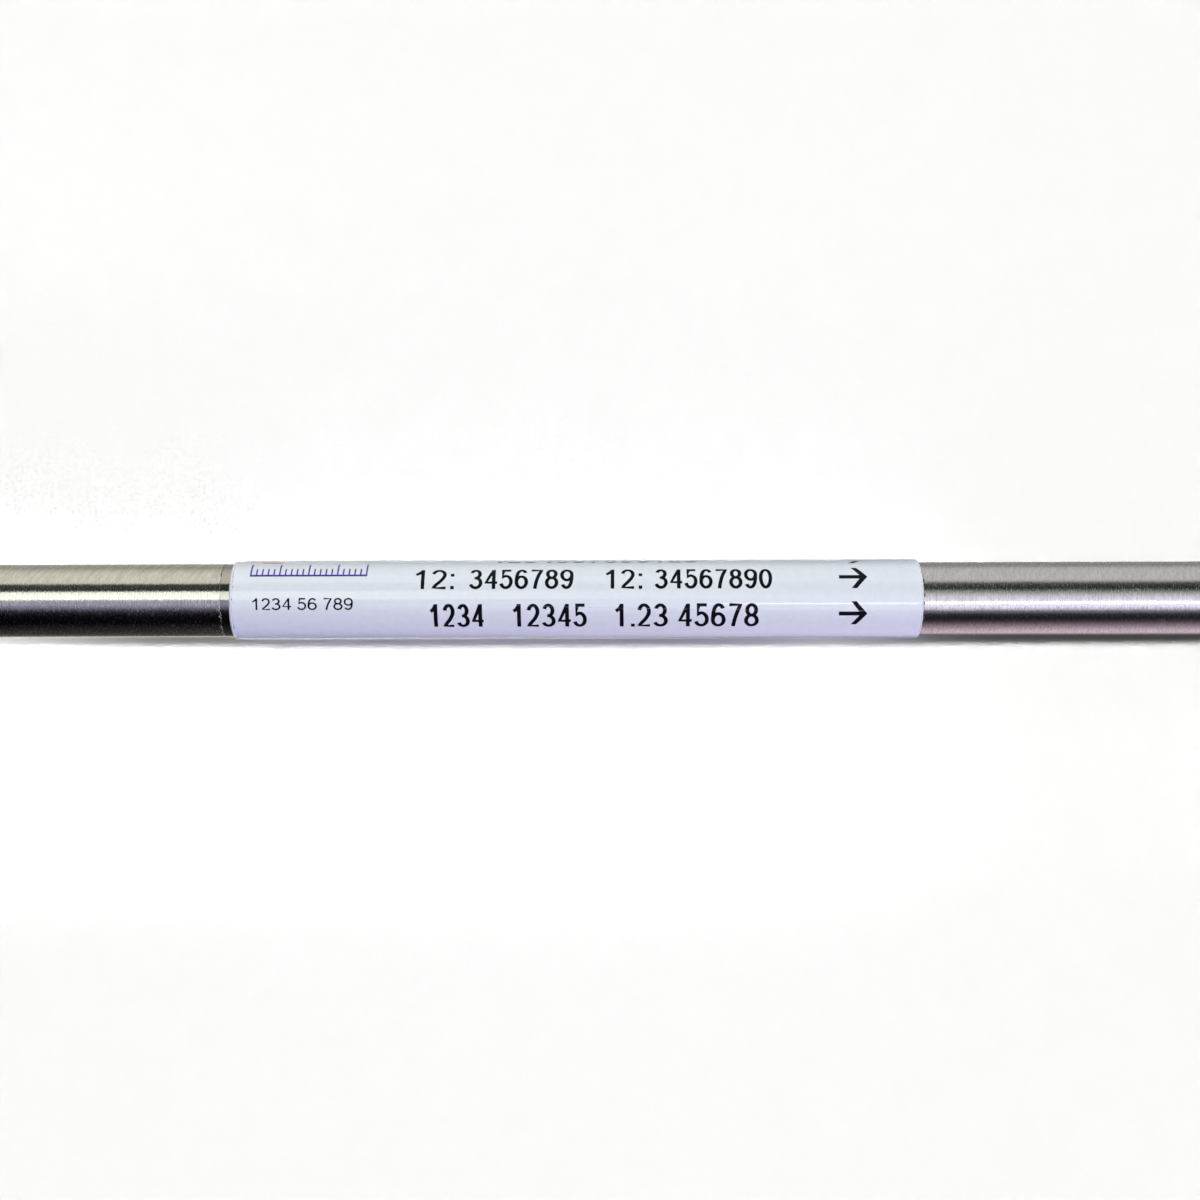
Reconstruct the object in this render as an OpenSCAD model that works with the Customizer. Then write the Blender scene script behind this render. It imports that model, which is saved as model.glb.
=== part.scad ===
// Packed liquid chromatography column, in millimetres.
// A thick-walled steel tube holds the bed. At each end a union nut and two ferrules clamp
// an end fitting, which holds a ringed frit against the tube and ends in a coned port.
// The tube lies along X, flow runs towards +X, and the origin is the middle of the bed.

/* [Column tube] */
// Outer diameter of the tube
tube_od = 6.35; // [6:0.05:6.8]
// Inner diameter of the tube, which is the diameter of the bed
tube_bore = 2.1; // [1:0.1:2.6]
// Length of the tube, which is the length of the bed
tube_len = 150; // [100:5:250]
// Width of the chamfer round each end of the tube
tube_chamfer = 0.25; // [0.1:0.05:0.5]

/* [Frit] */
// Diameter of the porous disc
frit_d = 3.2; // [2.8:0.1:4]
// Thickness of the disc and of the seal ring around it
frit_t = 1.5; // [1:0.1:2]

/* [Ferrules] */
// Half-angle of the cone on the front ferrule and of its seat
seat_angle = 12; // [9:0.5:14]
// Length of the coned seat
seat_len = 4; // [3:0.25:5]
// How far the front ferrule's nose stops short of the seat's narrow end
nose_setback = 0.5; // [0.2:0.1:1]
// Length of the front ferrule behind the seat
rim_len = 1.2; // [0.8:0.1:2]
// Depth of the bevel that the back ferrule's nose wedges into
bevel = 0.6; // [0.4:0.05:0.7]
// Length of the back ferrule's flange
flange_len = 1.1; // [0.8:0.1:2]

/* [Union nut] */
// Width of the nut across its flats
nut_af = 14.29; // [13.6:0.01:16]
// Thickness of the nut's back wall, from its shoulder to its end
nut_wall = 3.9; // [3:0.1:6]
// Length of the round collar at the back of the nut
collar_len = 1.9; // [1:0.1:2.4]
// Diameter of that collar
collar_d = 12.2; // [11:0.1:13]
// Gap between the tightened nut and the end fitting's hexagon
nut_standoff = 2; // [1:0.1:3]

/* [End fitting] */
// Width of the hexagon across its flats
fitting_af = 12.7; // [12:0.01:13.5]
// Turn of the hexagon from the nut's flats
fitting_turn = 6; // [0:1:9]
// Depth of the socket that the tube stands in, from the frit to the seat
socket_len = 3; // [2:0.25:4]
// Outer diameter of the union thread
thread_d = 11.11; // [10.8:0.01:11.6]
// Pitch of the union thread
thread_pitch = 1.27; // [1:0.01:1.5]
// Length of the union thread
thread_len = 9.2; // [8.5:0.1:11]
// Length of the undercut between the thread and the hexagon
undercut_len = 0.8; // [0.5:0.1:1.2]
// Depth of that undercut below the thread
undercut_depth = 0.45; // [0.2:0.05:0.6]

/* [Port] */
// Drilled diameter of the port's threaded hole
port_drill = 4.1; // [3.9:0.05:4.4]
// Depth of the threaded hole
port_depth = 7; // [5:0.25:9]
// Diameter of the countersink at the port's mouth
mouth_d = 5.4; // [5:0.1:6.5]
// Half-angle of the coned seat below the thread
cone_angle = 20; // [15:1:30]
// Diameter of the pilot hole for the capillary's end
pilot_d = 1.6; // [1.2:0.1:2]
// Length of the pilot hole
pilot_len = 1.6; // [1:0.1:3]
// Diameter of the flow passage
passage_d = 0.5; // [0.2:0.05:0.8]
// Length of the flow passage
passage_len = 1; // [0.5:0.1:2]
// Depth of the shallow cone that spreads the flow over the bed
spreader_depth = 0.25; // [0.1:0.05:0.5]

/* [Label] */
// Length of the label along the tube
label_len = 59.3; // [40:0.1:70]
// Thickness of the printed label
label_t = 0.15; // [0.1:0.01:0.2]
// Thickness of the clear film over it
film_t = 0.1; // [0.05:0.01:0.15]
// How far the film runs past the label at the inlet side
film_margin = 0.95; // [0.5:0.05:2]
// Height of the film's free edge round the tube, from the front
film_edge_angle = 74; // [0:1:90]

/* [Clearances] */
// Radial gap of the tube and the seal ring in their socket
slip_gap = 0.05; // [0.02:0.01:0.1]
// Radial gap between the nut's back wall and the tube
nut_gap = 0.15; // [0.05:0.01:0.3]
// Gap between the front ferrule's cone and its seat
seat_gap = 0.02; // [0.01:0.01:0.05]
// Radial gap between the nut's thread and the end fitting's
thread_gap = 0.04; // [0.02:0.01:0.1]
// Radial gap between a ferrule's rim and the nut
rim_gap = 0.5; // [0.3:0.05:0.8]

/* [Hidden] */
$fn = 96;
tube_r = tube_od / 2;
bed_r = tube_bore / 2;
socket_r = tube_r + slip_gap;
label_r = tube_r + label_t;

// Mean radius of the union thread, at which both of its plain walls stand.
thread_r = (thread_d - 0.6495 * thread_pitch) / 2;
rim_r = thread_r - rim_gap;

// Heights along one end's own axis, which starts at the tube's end and points away from the bed.
nose_z = -socket_len - seat_len;
rim_z = nose_z - rim_len;
shoulder_z = rim_z - flange_len;
nut_back_z = shoulder_z - nut_wall;
undercut_z = nose_z + thread_len;
hex_z = undercut_z + undercut_len;
nut_front_z = hex_z - nut_standoff;
spreader_z = frit_t;
passage_z = spreader_z + spreader_depth;
pilot_z = passage_z + passage_len;
cone_z = pilot_z + pilot_len;
port_z = cone_z + (port_drill - pilot_d) / 2 / tan(cone_angle);
face_z = port_z + port_depth;

// How a hexagon's ends and corners are turned down, and the break of other edges.
hex_chamfer_angle = 30;
hex_face_share = 0.95;
hex_corner_break = 0.1;
edge_break = 0.3;
over = 0.01;

// Radius of the coned seat at a height on one end's axis.
function seat_r(z) = socket_r + (-socket_len - z) * tan(seat_angle);

// Stands children along the tube, with their Z towards the outlet.
module along_tube() rotate([0, 90, 0]) children();

// Puts children on one end of the tube: 1 is the outlet and -1 the inlet.
module at_end(side) {
    if (side > 0) translate([tube_len / 2, 0, 0]) along_tube() children();
    else mirror([1, 0, 0]) at_end(1) children();
}

// A turned piece, from the radius and height of each corner of its half section.
module turned(section) rotate_extrude() polygon(section);

// A hexagonal bar with flats up and down, narrow lands on its corners and both ends chamfered.
module hex_bar(across, low, high) {
    face_r = across / 2 * hex_face_share;
    blank_r = across / 2 / cos(30) - hex_corner_break;
    chamfer = (blank_r - face_r) * tan(hex_chamfer_angle);
    intersection() {
        translate([0, 0, low]) rotate(30) cylinder(d = across / cos(30), h = high - low, $fn = 6);
        turned([
            [0, low], [face_r, low], [blank_r, low + chamfer],
            [blank_r, high - chamfer], [face_r, high], [0, high]
        ]);
    }
}

module column_tube() {
    half = tube_len / 2;
    color("silver") along_tube() turned([
        [bed_r, -half], [tube_r - tube_chamfer, -half], [tube_r, -half + tube_chamfer],
        [tube_r, half - tube_chamfer], [tube_r - tube_chamfer, half], [bed_r, half]
    ]);
}

module packed_bed() {
    color("ivory") along_tube() cylinder(r = bed_r, h = tube_len, center = true);
}

module frit(side) {
    color("gray") at_end(side) cylinder(d = frit_d, h = frit_t);
}

module frit_ring(side) {
    color("tan") at_end(side) difference() {
        cylinder(r = tube_r, h = frit_t);
        translate([0, 0, -1]) cylinder(d = frit_d, h = frit_t + 2);
    }
}

// Its cone fills the fitting's seat, and its rear takes the back ferrule's nose.
module front_ferrule(side) {
    tip_z = -socket_len - nose_setback;
    color("lightgray") at_end(side) turned([
        [tube_r, tip_z], [seat_r(tip_z) - seat_gap, tip_z],
        [seat_r(nose_z) - seat_gap, nose_z], [seat_r(nose_z) - seat_gap, nose_z - seat_gap],
        [rim_r, nose_z - seat_gap], [rim_r, rim_z],
        [tube_r + bevel, rim_z], [tube_r, rim_z + bevel]
    ]);
}

module back_ferrule(side) {
    color("lightgray") at_end(side) turned([
        [tube_r, rim_z + bevel - seat_gap], [tube_r + bevel, rim_z - seat_gap],
        [rim_r, rim_z - seat_gap], [rim_r, shoulder_z + edge_break],
        [rim_r - edge_break, shoulder_z], [tube_r, shoulder_z]
    ]);
}

// Slides over the tube and draws the fitting onto the ferrules.
module union_nut(side) {
    collar_r = collar_d / 2;
    color("silver") at_end(side) difference() {
        union() {
            hex_bar(nut_af, nut_back_z + collar_len, nut_front_z);
            turned([
                [0, nut_back_z], [collar_r - edge_break, nut_back_z],
                [collar_r, nut_back_z + edge_break],
                [collar_r, nut_back_z + collar_len + edge_break],
                [0, nut_back_z + collar_len + edge_break]
            ]);
        }
        turned([
            [0, nut_back_z - 1], [tube_r + nut_gap, nut_back_z - 1],
            [tube_r + nut_gap, shoulder_z], [thread_r, shoulder_z],
            [thread_r, nut_front_z - edge_break],
            [thread_r + edge_break + 1, nut_front_z + 1], [0, nut_front_z + 1]
        ]);
    }
}

// Threaded stem, hexagon and port in one turned piece, bored from both ends.
module end_fitting(side) {
    stem_r = thread_r - thread_gap;
    neck_r = stem_r - undercut_depth;
    mouth_r = mouth_d / 2;
    color("silver") at_end(side) difference() {
        union() {
            rotate(fitting_turn) hex_bar(fitting_af, hex_z, face_z);
            turned([
                [0, nose_z], [stem_r - edge_break, nose_z], [stem_r, nose_z + edge_break],
                [stem_r, undercut_z], [neck_r, undercut_z + edge_break],
                [neck_r, hex_z + edge_break], [0, hex_z + edge_break]
            ]);
        }
        // Seat, socket and flow spreader, from the tube's side.
        turned([
            [0, nose_z - 1], [seat_r(nose_z - 1), nose_z - 1], [socket_r, -socket_len],
            [socket_r, spreader_z], [bed_r, spreader_z], [passage_d / 2, passage_z], [0, passage_z]
        ]);
        // Passage, pilot hole, cone and drilled thread, from the port's side.
        turned([
            [0, passage_z - over], [passage_d / 2, passage_z - over],
            [passage_d / 2, pilot_z], [pilot_d / 2, pilot_z], [pilot_d / 2, cone_z],
            [port_drill / 2, port_z], [port_drill / 2, face_z - (mouth_r - port_drill / 2)],
            [mouth_r, face_z], [mouth_r, face_z + 1], [0, face_z + 1]
        ]);
    }
}

module label() {
    color("white") along_tube() difference() {
        cylinder(r = label_r, h = label_len, center = true);
        cylinder(r = tube_r, h = label_len + 2, center = true);
    }
}

// Outline of the film round something of radius inner. Its free edge lies along +X, one
// thickness proud, and the turn that carries it swells from the far side round through -Y.
module film_outline(inner) {
    reach = 2 * (inner + film_t);
    intersection() {
        circle(r = inner + film_t);
        translate([-reach / 2, 0]) square([reach, reach]);
    }
    intersection() {
        translate([film_t / 2, 0]) circle(r = inner + 1.5 * film_t);
        translate([-reach, -reach]) square([2 * reach, reach]);
    }
}

// A length of film, wrapped on one radius and open down to another.
module film_length(wrapped_on, open_to, low, high) {
    translate([0, 0, low]) rotate(270 - film_edge_angle) linear_extrude(high - low) difference() {
        film_outline(wrapped_on);
        circle(r = open_to);
    }
}

// Lies on the label, steps down over its inlet end and runs on over the bare tube.
module label_film() {
    start = -label_len / 2;
    color("lightcyan", 0.4) along_tube() {
        film_length(label_r, label_r, start, label_len / 2);
        film_length(label_r, tube_r, start - film_t, start);
        film_length(tube_r, tube_r, start - film_margin, start);
    }
}

column_tube();
packed_bed();
label();
label_film();
frit(-1);  // inlet_frit
frit_ring(-1);  // inlet_frit_ring
front_ferrule(-1);  // inlet_front_ferrule
back_ferrule(-1);  // inlet_back_ferrule
union_nut(-1);  // inlet_nut
end_fitting(-1);  // inlet_end_fitting
frit(1);  // outlet_frit
frit_ring(1);  // outlet_frit_ring
front_ferrule(1);  // outlet_front_ferrule
back_ferrule(1);  // outlet_back_ferrule
union_nut(1);  // outlet_nut
end_fitting(1);  // outlet_end_fitting
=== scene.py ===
"""Looks of a packed liquid chromatography column: a ground steel tube with a printed label
under clear film, held between compression end fittings with coned ports.

Lengths are millimetres and angles are degrees; plain_mesh() turns lengths into metres.
A turn is an angle round the tube's axis: 0 faces the front (-Y), 90 the top (+Z).
"""

import math

import bmesh
import bpy
from mathutils import Matrix, Vector
from mathutils import noise as value_noise


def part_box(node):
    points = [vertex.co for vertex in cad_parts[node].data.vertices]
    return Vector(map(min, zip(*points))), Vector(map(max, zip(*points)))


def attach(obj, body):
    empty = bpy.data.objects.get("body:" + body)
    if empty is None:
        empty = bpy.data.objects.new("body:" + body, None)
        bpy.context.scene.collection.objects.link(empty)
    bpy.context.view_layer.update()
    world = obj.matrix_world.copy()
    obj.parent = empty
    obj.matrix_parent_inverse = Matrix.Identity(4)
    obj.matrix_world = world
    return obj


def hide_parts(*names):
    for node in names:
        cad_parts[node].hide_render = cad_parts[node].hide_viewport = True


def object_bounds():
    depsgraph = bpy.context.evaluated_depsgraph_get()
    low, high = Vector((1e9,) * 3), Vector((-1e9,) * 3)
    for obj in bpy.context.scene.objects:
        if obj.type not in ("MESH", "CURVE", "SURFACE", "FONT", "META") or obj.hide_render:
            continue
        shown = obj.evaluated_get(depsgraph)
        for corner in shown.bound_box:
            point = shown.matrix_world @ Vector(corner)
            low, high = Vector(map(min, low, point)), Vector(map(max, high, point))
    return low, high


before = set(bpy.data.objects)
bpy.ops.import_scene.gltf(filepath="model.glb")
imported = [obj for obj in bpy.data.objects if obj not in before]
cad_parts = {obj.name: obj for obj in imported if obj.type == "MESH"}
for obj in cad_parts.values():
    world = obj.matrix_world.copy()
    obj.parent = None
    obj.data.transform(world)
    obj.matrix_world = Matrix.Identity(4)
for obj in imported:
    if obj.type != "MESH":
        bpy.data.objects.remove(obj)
cad_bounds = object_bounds()
MM = 0.001

# ---------------- sizes from the frame


def node_span(node):
    """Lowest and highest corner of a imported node."""
    low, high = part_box(node)
    return low / MM, high / MM


TUBE_LOW, TUBE_HIGH = node_span("column_tube")
LABEL_LOW, LABEL_HIGH = node_span("label")
FILM_LOW = node_span("label_film")[0]
TUBE_R = -TUBE_LOW.z
LABEL_R = -LABEL_LOW.z
LABEL_T = LABEL_R - TUBE_R
FLOOR_Z = cad_bounds[0].z / MM

# ---------------- camera

VIEW_TURN = 80  # the camera looks down on the tube from this turn
CAMERA_DISTANCE = 181
CAMERA_X = 5.9
AIM_X = 2.0
AIM_RISE = -0.025
CAMERA_ROLL = 0.14
LENS = 62.4
SENSOR = 36
CLIP = (0.01, 20)  # in metres

# ---------------- mesh helpers


def at_turn(x, radius, turn):
    """Point beside the axis, at a radius and a turn."""
    a = math.radians(turn)
    return (x, -radius * math.cos(a), radius * math.sin(a))


def smooth_step(low, high, value):
    t = min(max((value - low) / (high - low), 0), 1)
    return t * t * (3 - 2 * t)


def tidy_normals(mesh):
    """Merges doubles and turns the faces of a closed mesh outwards."""
    work = bmesh.new()
    work.from_mesh(mesh)
    bmesh.ops.remove_doubles(work, verts=work.verts, dist=1e-7)
    bmesh.ops.recalc_face_normals(work, faces=work.faces)
    work.to_mesh(mesh)
    work.free()


def put(name, data):
    """A new object in the scene."""
    thing = bpy.data.objects.new(name, data)
    bpy.context.scene.collection.objects.link(thing)
    return thing


def plain_mesh(name, points, faces, edges=(), unit=MM):
    """A mesh from points in millimetres, or in another unit."""
    mesh = bpy.data.meshes.new(name)
    mesh.from_pydata([Vector(p) * unit for p in points], edges, faces)
    return mesh


def show(name, mesh, smooth_below=35):
    """An object from a mesh, smooth apart from its edges over an angle."""
    mesh.shade_smooth()
    mesh.set_sharp_from_angle(angle=math.radians(smooth_below))
    return put(name, mesh)


def show_solid(name, points, faces, smooth_below=35):
    """An object from the points and faces of a solid."""
    mesh = plain_mesh(name, points, faces)
    tidy_normals(mesh)
    return show(name, mesh, smooth_below)


def grid_faces(rows, columns, close_rows=False, close_columns=False):
    """Quads between neighbouring rows and columns of a grid of points."""
    faces = []
    for i in range(rows if close_rows else rows - 1):
        for j in range(columns if close_columns else columns - 1):
            here, up = i * columns, (i + 1) % rows * columns
            next_j = (j + 1) % columns
            faces.append((here + j, here + next_j, up + next_j, up + j))
    return faces


def ring(name, section_at, steps):
    """A closed ring round the axis; section_at(turn) gives the (x, radius) loop there."""
    sections = [section_at(360 * i / steps) for i in range(steps)]
    points = [
        at_turn(x, r, 360 * i / steps) for i, section in enumerate(sections) for x, r in section
    ]
    return show_solid(name, points, grid_faces(steps, len(sections[0]), True, True))


def dress(piece, slot, *materials, stands_for=()):
    """Gives a piece its finish and fixes it to the column."""
    for material in materials:
        piece.data.materials.append(material)
    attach(piece, "root")
    if stands_for:
        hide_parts(*stands_for)
    return piece


# ---------------- node helpers


class Tree:
    """Short calls that both kinds of node tree share."""

    prefix = "ShaderNode"

    def __init__(self, tree):
        self.tree = tree

    def feed(self, socket, value):
        """Gives a socket its value, or links another node's socket to it."""
        if isinstance(value, bpy.types.NodeSocket):
            self.tree.links.new(value, socket)
        else:
            socket.default_value = value

    def add(self, kind, inputs=(), **settings):
        """Adds a node, by its whole name or by its name without the prefix."""
        node = self.tree.nodes.new(kind if "Node" in kind else self.prefix + kind)
        for key, value in settings.items():
            setattr(node, key, value)
        for key, value in dict(inputs).items():
            self.feed(node.inputs[key], value)
        return node

    def make(self, kind, inputs=(), **settings):
        """Adds a node and gives its first output."""
        return self.add(kind, inputs, **settings).outputs[0]

    def math(self, operation, a, b=0.0):
        return self.make("ShaderNodeMath", {0: a, 1: b}, operation=operation)

    def times(self, a, b):
        return self.math("MULTIPLY", a, b)

    def plus(self, a, b):
        return self.math("ADD", a, b)

    def minus(self, a, b):
        return self.math("SUBTRACT", a, b)

    def vector(self, x=0.0, y=0.0, z=0.0):
        return self.make("ShaderNodeCombineXYZ", {0: x, 1: y, 2: z})

    def blend(self, factor, a, b):
        """Mixes two colours."""
        return self.add("Mix", {0: factor, 6: a, 7: b}, data_type="RGBA").outputs[2]


class ShapeTree(Tree):
    """A geometry node tree with named inputs, run once into a plain mesh."""

    prefix = "GeometryNode"

    def __init__(self, name, **sizes):
        super().__init__(bpy.data.node_groups.new(name, "GeometryNodeTree"))
        self.sizes = sizes
        self.sockets = {}
        for way in ("INPUT", "OUTPUT"):
            self.tree.interface.new_socket("Geometry", in_out=way, socket_type="NodeSocketGeometry")
        for key, value in sizes.items():
            kind = "NodeSocketInt" if isinstance(value, int) else "NodeSocketFloat"
            self.sockets[key] = self.tree.interface.new_socket(key, in_out="INPUT", socket_type=kind)
        self.given = self.tree.nodes.new("NodeGroupInput").outputs
        self.result = self.tree.nodes.new("NodeGroupOutput").inputs[0]

    def finish(self, geometry):
        """Ends the tree: instances become real and their material slot is made."""
        real = self.make("RealizeInstances", {0: geometry})
        self.tree.links.new(self.make("SetMaterial", {0: real, "Material": None}), self.result)

    def run(self, base):
        """Runs the tree on a mesh and gives the resulting plain mesh."""
        holder = put(self.tree.name, base)
        modifier = holder.modifiers.new(self.tree.name, "NODES")
        modifier.node_group = self.tree
        for key, value in self.sizes.items():
            modifier[self.sockets[key].identifier] = value
        shown = holder.evaluated_get(bpy.context.evaluated_depsgraph_get())
        mesh = bpy.data.meshes.new_from_object(shown)
        bpy.data.objects.remove(holder)
        return mesh


class Finish(Tree):
    """A material built from nodes, with short calls for what the finishes share."""

    def __init__(self, name, **settings):
        self.material = bpy.data.materials.new(name)
        self.material.use_nodes = True
        super().__init__(self.material.node_tree)
        self.shader = self.tree.nodes["Principled BSDF"]
        for key, value in settings.items():
            self.shader.inputs[key.replace("_", " ")].default_value = value

    def where(self):
        """The point's place on the object, as a vector in metres."""
        return self.add("TexCoord").outputs["Object"]

    def place(self):
        """The same, as separate x, y and z in millimetres."""
        scaled = self.make("VectorMath", {0: self.where(), 1: (1 / MM,) * 3}, operation="MULTIPLY")
        return self.add("SeparateXYZ", {0: scaled}).outputs

    def around_tube(self):
        """Millimetres along the tube and round it, from the top, at the tube's surface."""
        x, y, z = self.place()
        turn = self.math("ARCTAN2", y, z)
        return self.vector(x, self.times(turn, TUBE_R))

    def scaled(self, vector, along, across, turn=0):
        """A pattern's coordinates: cycles per millimetre each way, turned."""
        turned = self.make("Mapping", {"Vector": vector, "Rotation": (0, 0, math.radians(turn))})
        return self.make("Mapping", {"Vector": turned, "Scale": (along, across, 1)})

    def grain(self, along, across, detail=2, roughness=0.5, turn=0):
        """Noise on the tube's surface, with so many cycles per millimetre each way."""
        return self.noise(self.scaled(self.around_tube(), along, across, turn), 1.0, detail, roughness)

    def between(self, share, a, b):
        """Mixes two numbers."""
        return self.plus(self.times(a, self.minus(1.0, share)), self.times(b, share))

    def noise(self, vector, scale=1.0, detail=2.0, roughness=0.5, flat=True):
        inputs = {"Vector": vector, "Scale": scale, "Detail": detail, "Roughness": roughness}
        return self.add("TexNoise", inputs, noise_dimensions="2D" if flat else "3D").outputs["Fac"]

    def spread(self, value, low, high, to_low=0.0, to_high=1.0):
        """Maps low..high of a value to a new range, clamped."""
        inputs = {"Value": value, 1: low, 2: high, 3: to_low, 4: to_high}
        return self.make("MapRange", inputs)

    def band(self, value, low, high, soft):
        """One between two limits and zero outside them, with soft edges."""
        rise = self.spread(value, low - soft, low)
        fall = self.spread(value, high, high + soft, 1.0, 0.0)
        return self.times(rise, fall)

    def length(self, a, b):
        """Length of a flat vector."""
        return self.math("SQRT", self.plus(self.math("POWER", a, 2.0), self.math("POWER", b, 2.0)))

    def bump(self, height, depth, normal=None):
        """A bump as deep as a height of 1, in millimetres."""
        inputs = {"Height": height, "Distance": depth * MM, "Strength": 1.0}
        if normal:
            inputs["Normal"] = normal
        return self.make("Bump", inputs)

    def drive(self, **sockets):
        for key, value in sockets.items():
            self.tree.links.new(value, self.shader.inputs[key.replace("_", " ")])
        return self

    def glow(self, colour, strength):
        """Makes the surface a plain light, but not by way of a surface that scatters it."""
        scattered = self.math("MINIMUM", self.add("LightPath").outputs["Diffuse Depth"], 1.0)
        shown = self.times(self.minus(1.0, scattered), strength)
        light = self.make("Emission", {"Color": colour, "Strength": shown})
        self.tree.links.new(light, self.tree.nodes["Material Output"].inputs[0])
        return self.material


def grey(level, tint=(1, 1, 1)):
    return (level * tint[0], level * tint[1], level * tint[2], 1)


# ---------------- finishes

STEEL_TINT = (1.0, 0.985, 0.955)
FLATS_R = (5.7, 5.8)  # the hexagons' drawn flats lie further from the axis than this


def ground_steel():
    """Centreless-ground tube: fine lines round it, slanted polishing marks and soft smudges."""
    finish = Finish(
        "tube_steel", Metallic=1.0, Base_Color=grey(0.62), Roughness=0.2,
        Anisotropic=0.85, Anisotropic_Rotation=0.25,
    )
    lines = finish.grain(7, 0.9, 4, 0.7)
    grain = finish.grain(9, 3.2, 2, 0.65)
    flecks = finish.grain(12, 2.6, 1)
    slant = finish.grain(3.2, 0.45, 3, turn=27)
    smudge = finish.grain(0.22, 0.3, 3)
    # The slanted marks are strongest along the tube's back, towards the inlet.
    round_tube = finish.add("SeparateXYZ", {0: finish.around_tube()}).outputs[1]
    share = finish.spread(round_tube, 0.9, 1.7, 0.12, 0.6)
    along = finish.place()[0]
    share = finish.times(share, finish.spread(along, -30, 25, 1.0, 0.5))
    mix = finish.between(0.25, finish.between(share, lines, slant), grain)
    colour = finish.blend(finish.spread(mix, 0.36, 0.64), grey(0.51, STEEL_TINT), grey(0.73, STEEL_TINT))
    # Adhesive has filled the grinding lines where the film lies on the steel.
    filled = finish.band(along, FILM_LOW.x, LABEL_LOW.x, 0.02)
    # The grain is coarser towards the outlet.
    coarse = finish.spread(along, -30, 25, 0.15, 0.25)
    fleck = finish.times(finish.spread(flecks, 0.56, 0.74), coarse)
    rough = finish.plus(finish.spread(smudge, 0.3, 0.7, 0.14, 0.20), fleck)
    rough = finish.times(rough, finish.spread(filled, 0, 1, 1, 0.6))
    colour = finish.blend(filled, colour, grey(0.47, STEEL_TINT))
    normal = finish.bump(lines, 0.0015)
    normal = finish.bump(grain, 0.006, normal)
    tangent = finish.make("Tangent", direction_type="RADIAL", axis="X")
    return finish.drive(Base_Color=colour, Roughness=rough, Normal=normal, Tangent=tangent).material


def turned_steel(name, level=0.60):
    """Bar turned on a lathe: tool lines round it and on its faces, drawn lines along its flats."""
    finish = Finish(name, Metallic=1.0, Base_Color=grey(level, STEEL_TINT), Roughness=0.24)
    x, y, z = finish.place()
    radius = finish.length(y, z)
    turn = finish.times(finish.math("ARCTAN2", y, z), 0.6)
    depth = finish.plus(x, radius)
    tool = finish.noise(finish.vector(finish.times(depth, 8.0), turn), 1, 3)
    across = finish.vector(finish.times(x, 0.35), finish.times(y, 6.0), finish.times(z, 6.0))
    drawn = finish.noise(across, 1, 3, flat=False)
    facing = finish.make("SeparateXYZ", {0: finish.add("NewGeometry").outputs["True Normal"]})
    level_face = finish.spread(finish.math("ABSOLUTE", facing), 0.05, 0.1, 1, 0)
    flat_face = finish.times(level_face, finish.spread(radius, *FLATS_R))
    lines = finish.between(flat_face, tool, drawn)
    cloud = finish.noise(finish.where(), 420, 3, 0.55, flat=False)
    mix = finish.spread(finish.between(0.5, lines, cloud), 0.38, 0.62)
    colour = finish.blend(mix, grey(level * 0.86, STEEL_TINT), grey(level * 1.10, STEEL_TINT))
    lined = finish.spread(lines, 0.3, 0.7, 0.0, 0.08)
    rough = finish.plus(lined, finish.spread(cloud, 0.3, 0.7, 0.16, 0.26))
    rounded = finish.make("Bevel", {"Radius": 0.1 * MM}, samples=4)
    normal = finish.bump(lines, 0.002, rounded)
    return finish.drive(Base_Color=colour, Roughness=rough, Normal=normal).material


def sintered_steel():
    """Porous frit: fused grains, with painted shade in the gaps between them."""
    finish = Finish("frit_steel", Metallic=1.0, Base_Color=grey(0.32), Roughness=0.55)
    place = finish.where()
    grains = finish.add("TexVoronoi", {"Vector": place, "Scale": 14000.0}).outputs["Distance"]
    # Darker where the grains meet: painted shade in the gaps between them.
    pore_shade = finish.spread(grains, 0.25, 0.75)
    colour = finish.blend(pore_shade, grey(0.42, STEEL_TINT), grey(0.1))
    height = finish.minus(1.0, grains)
    rough = finish.spread(grains, 0.2, 0.8, 0.4, 0.8)
    return finish.drive(Base_Color=colour, Roughness=rough, Normal=finish.bump(height, 0.03)).material


def natural_polymer():
    """Beige moulded seal polymer with faint flow marks."""
    finish = Finish("seal_polymer", Base_Color=(0.48, 0.35, 0.19, 1), Roughness=0.42)
    place = finish.where()
    flow = finish.noise(place, 900, 3, 0.5, flat=False)
    colour = finish.blend(flow, (0.42, 0.30, 0.16, 1), (0.55, 0.41, 0.24, 1))
    rough = finish.spread(flow, 0.3, 0.7, 0.36, 0.5)
    return finish.drive(Base_Color=colour, Roughness=rough, Normal=finish.bump(flow, 0.004)).material


def packed_beads():
    """Packed silica beads, as a fine pale grain, darker between the beads as painted shade."""
    finish = Finish("bed_resin", Base_Color=(0.86, 0.84, 0.78, 1), Roughness=0.85)
    place = finish.where()
    beads = finish.add("TexVoronoi", {"Vector": place, "Scale": 30000.0}).outputs["Distance"]
    # Darker towards the gaps between beads: painted shade.
    colour = finish.blend(beads, (0.90, 0.88, 0.83, 1), (0.62, 0.60, 0.55, 1))
    return finish.drive(Base_Color=colour, Normal=finish.bump(beads, 0.004)).material


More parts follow.
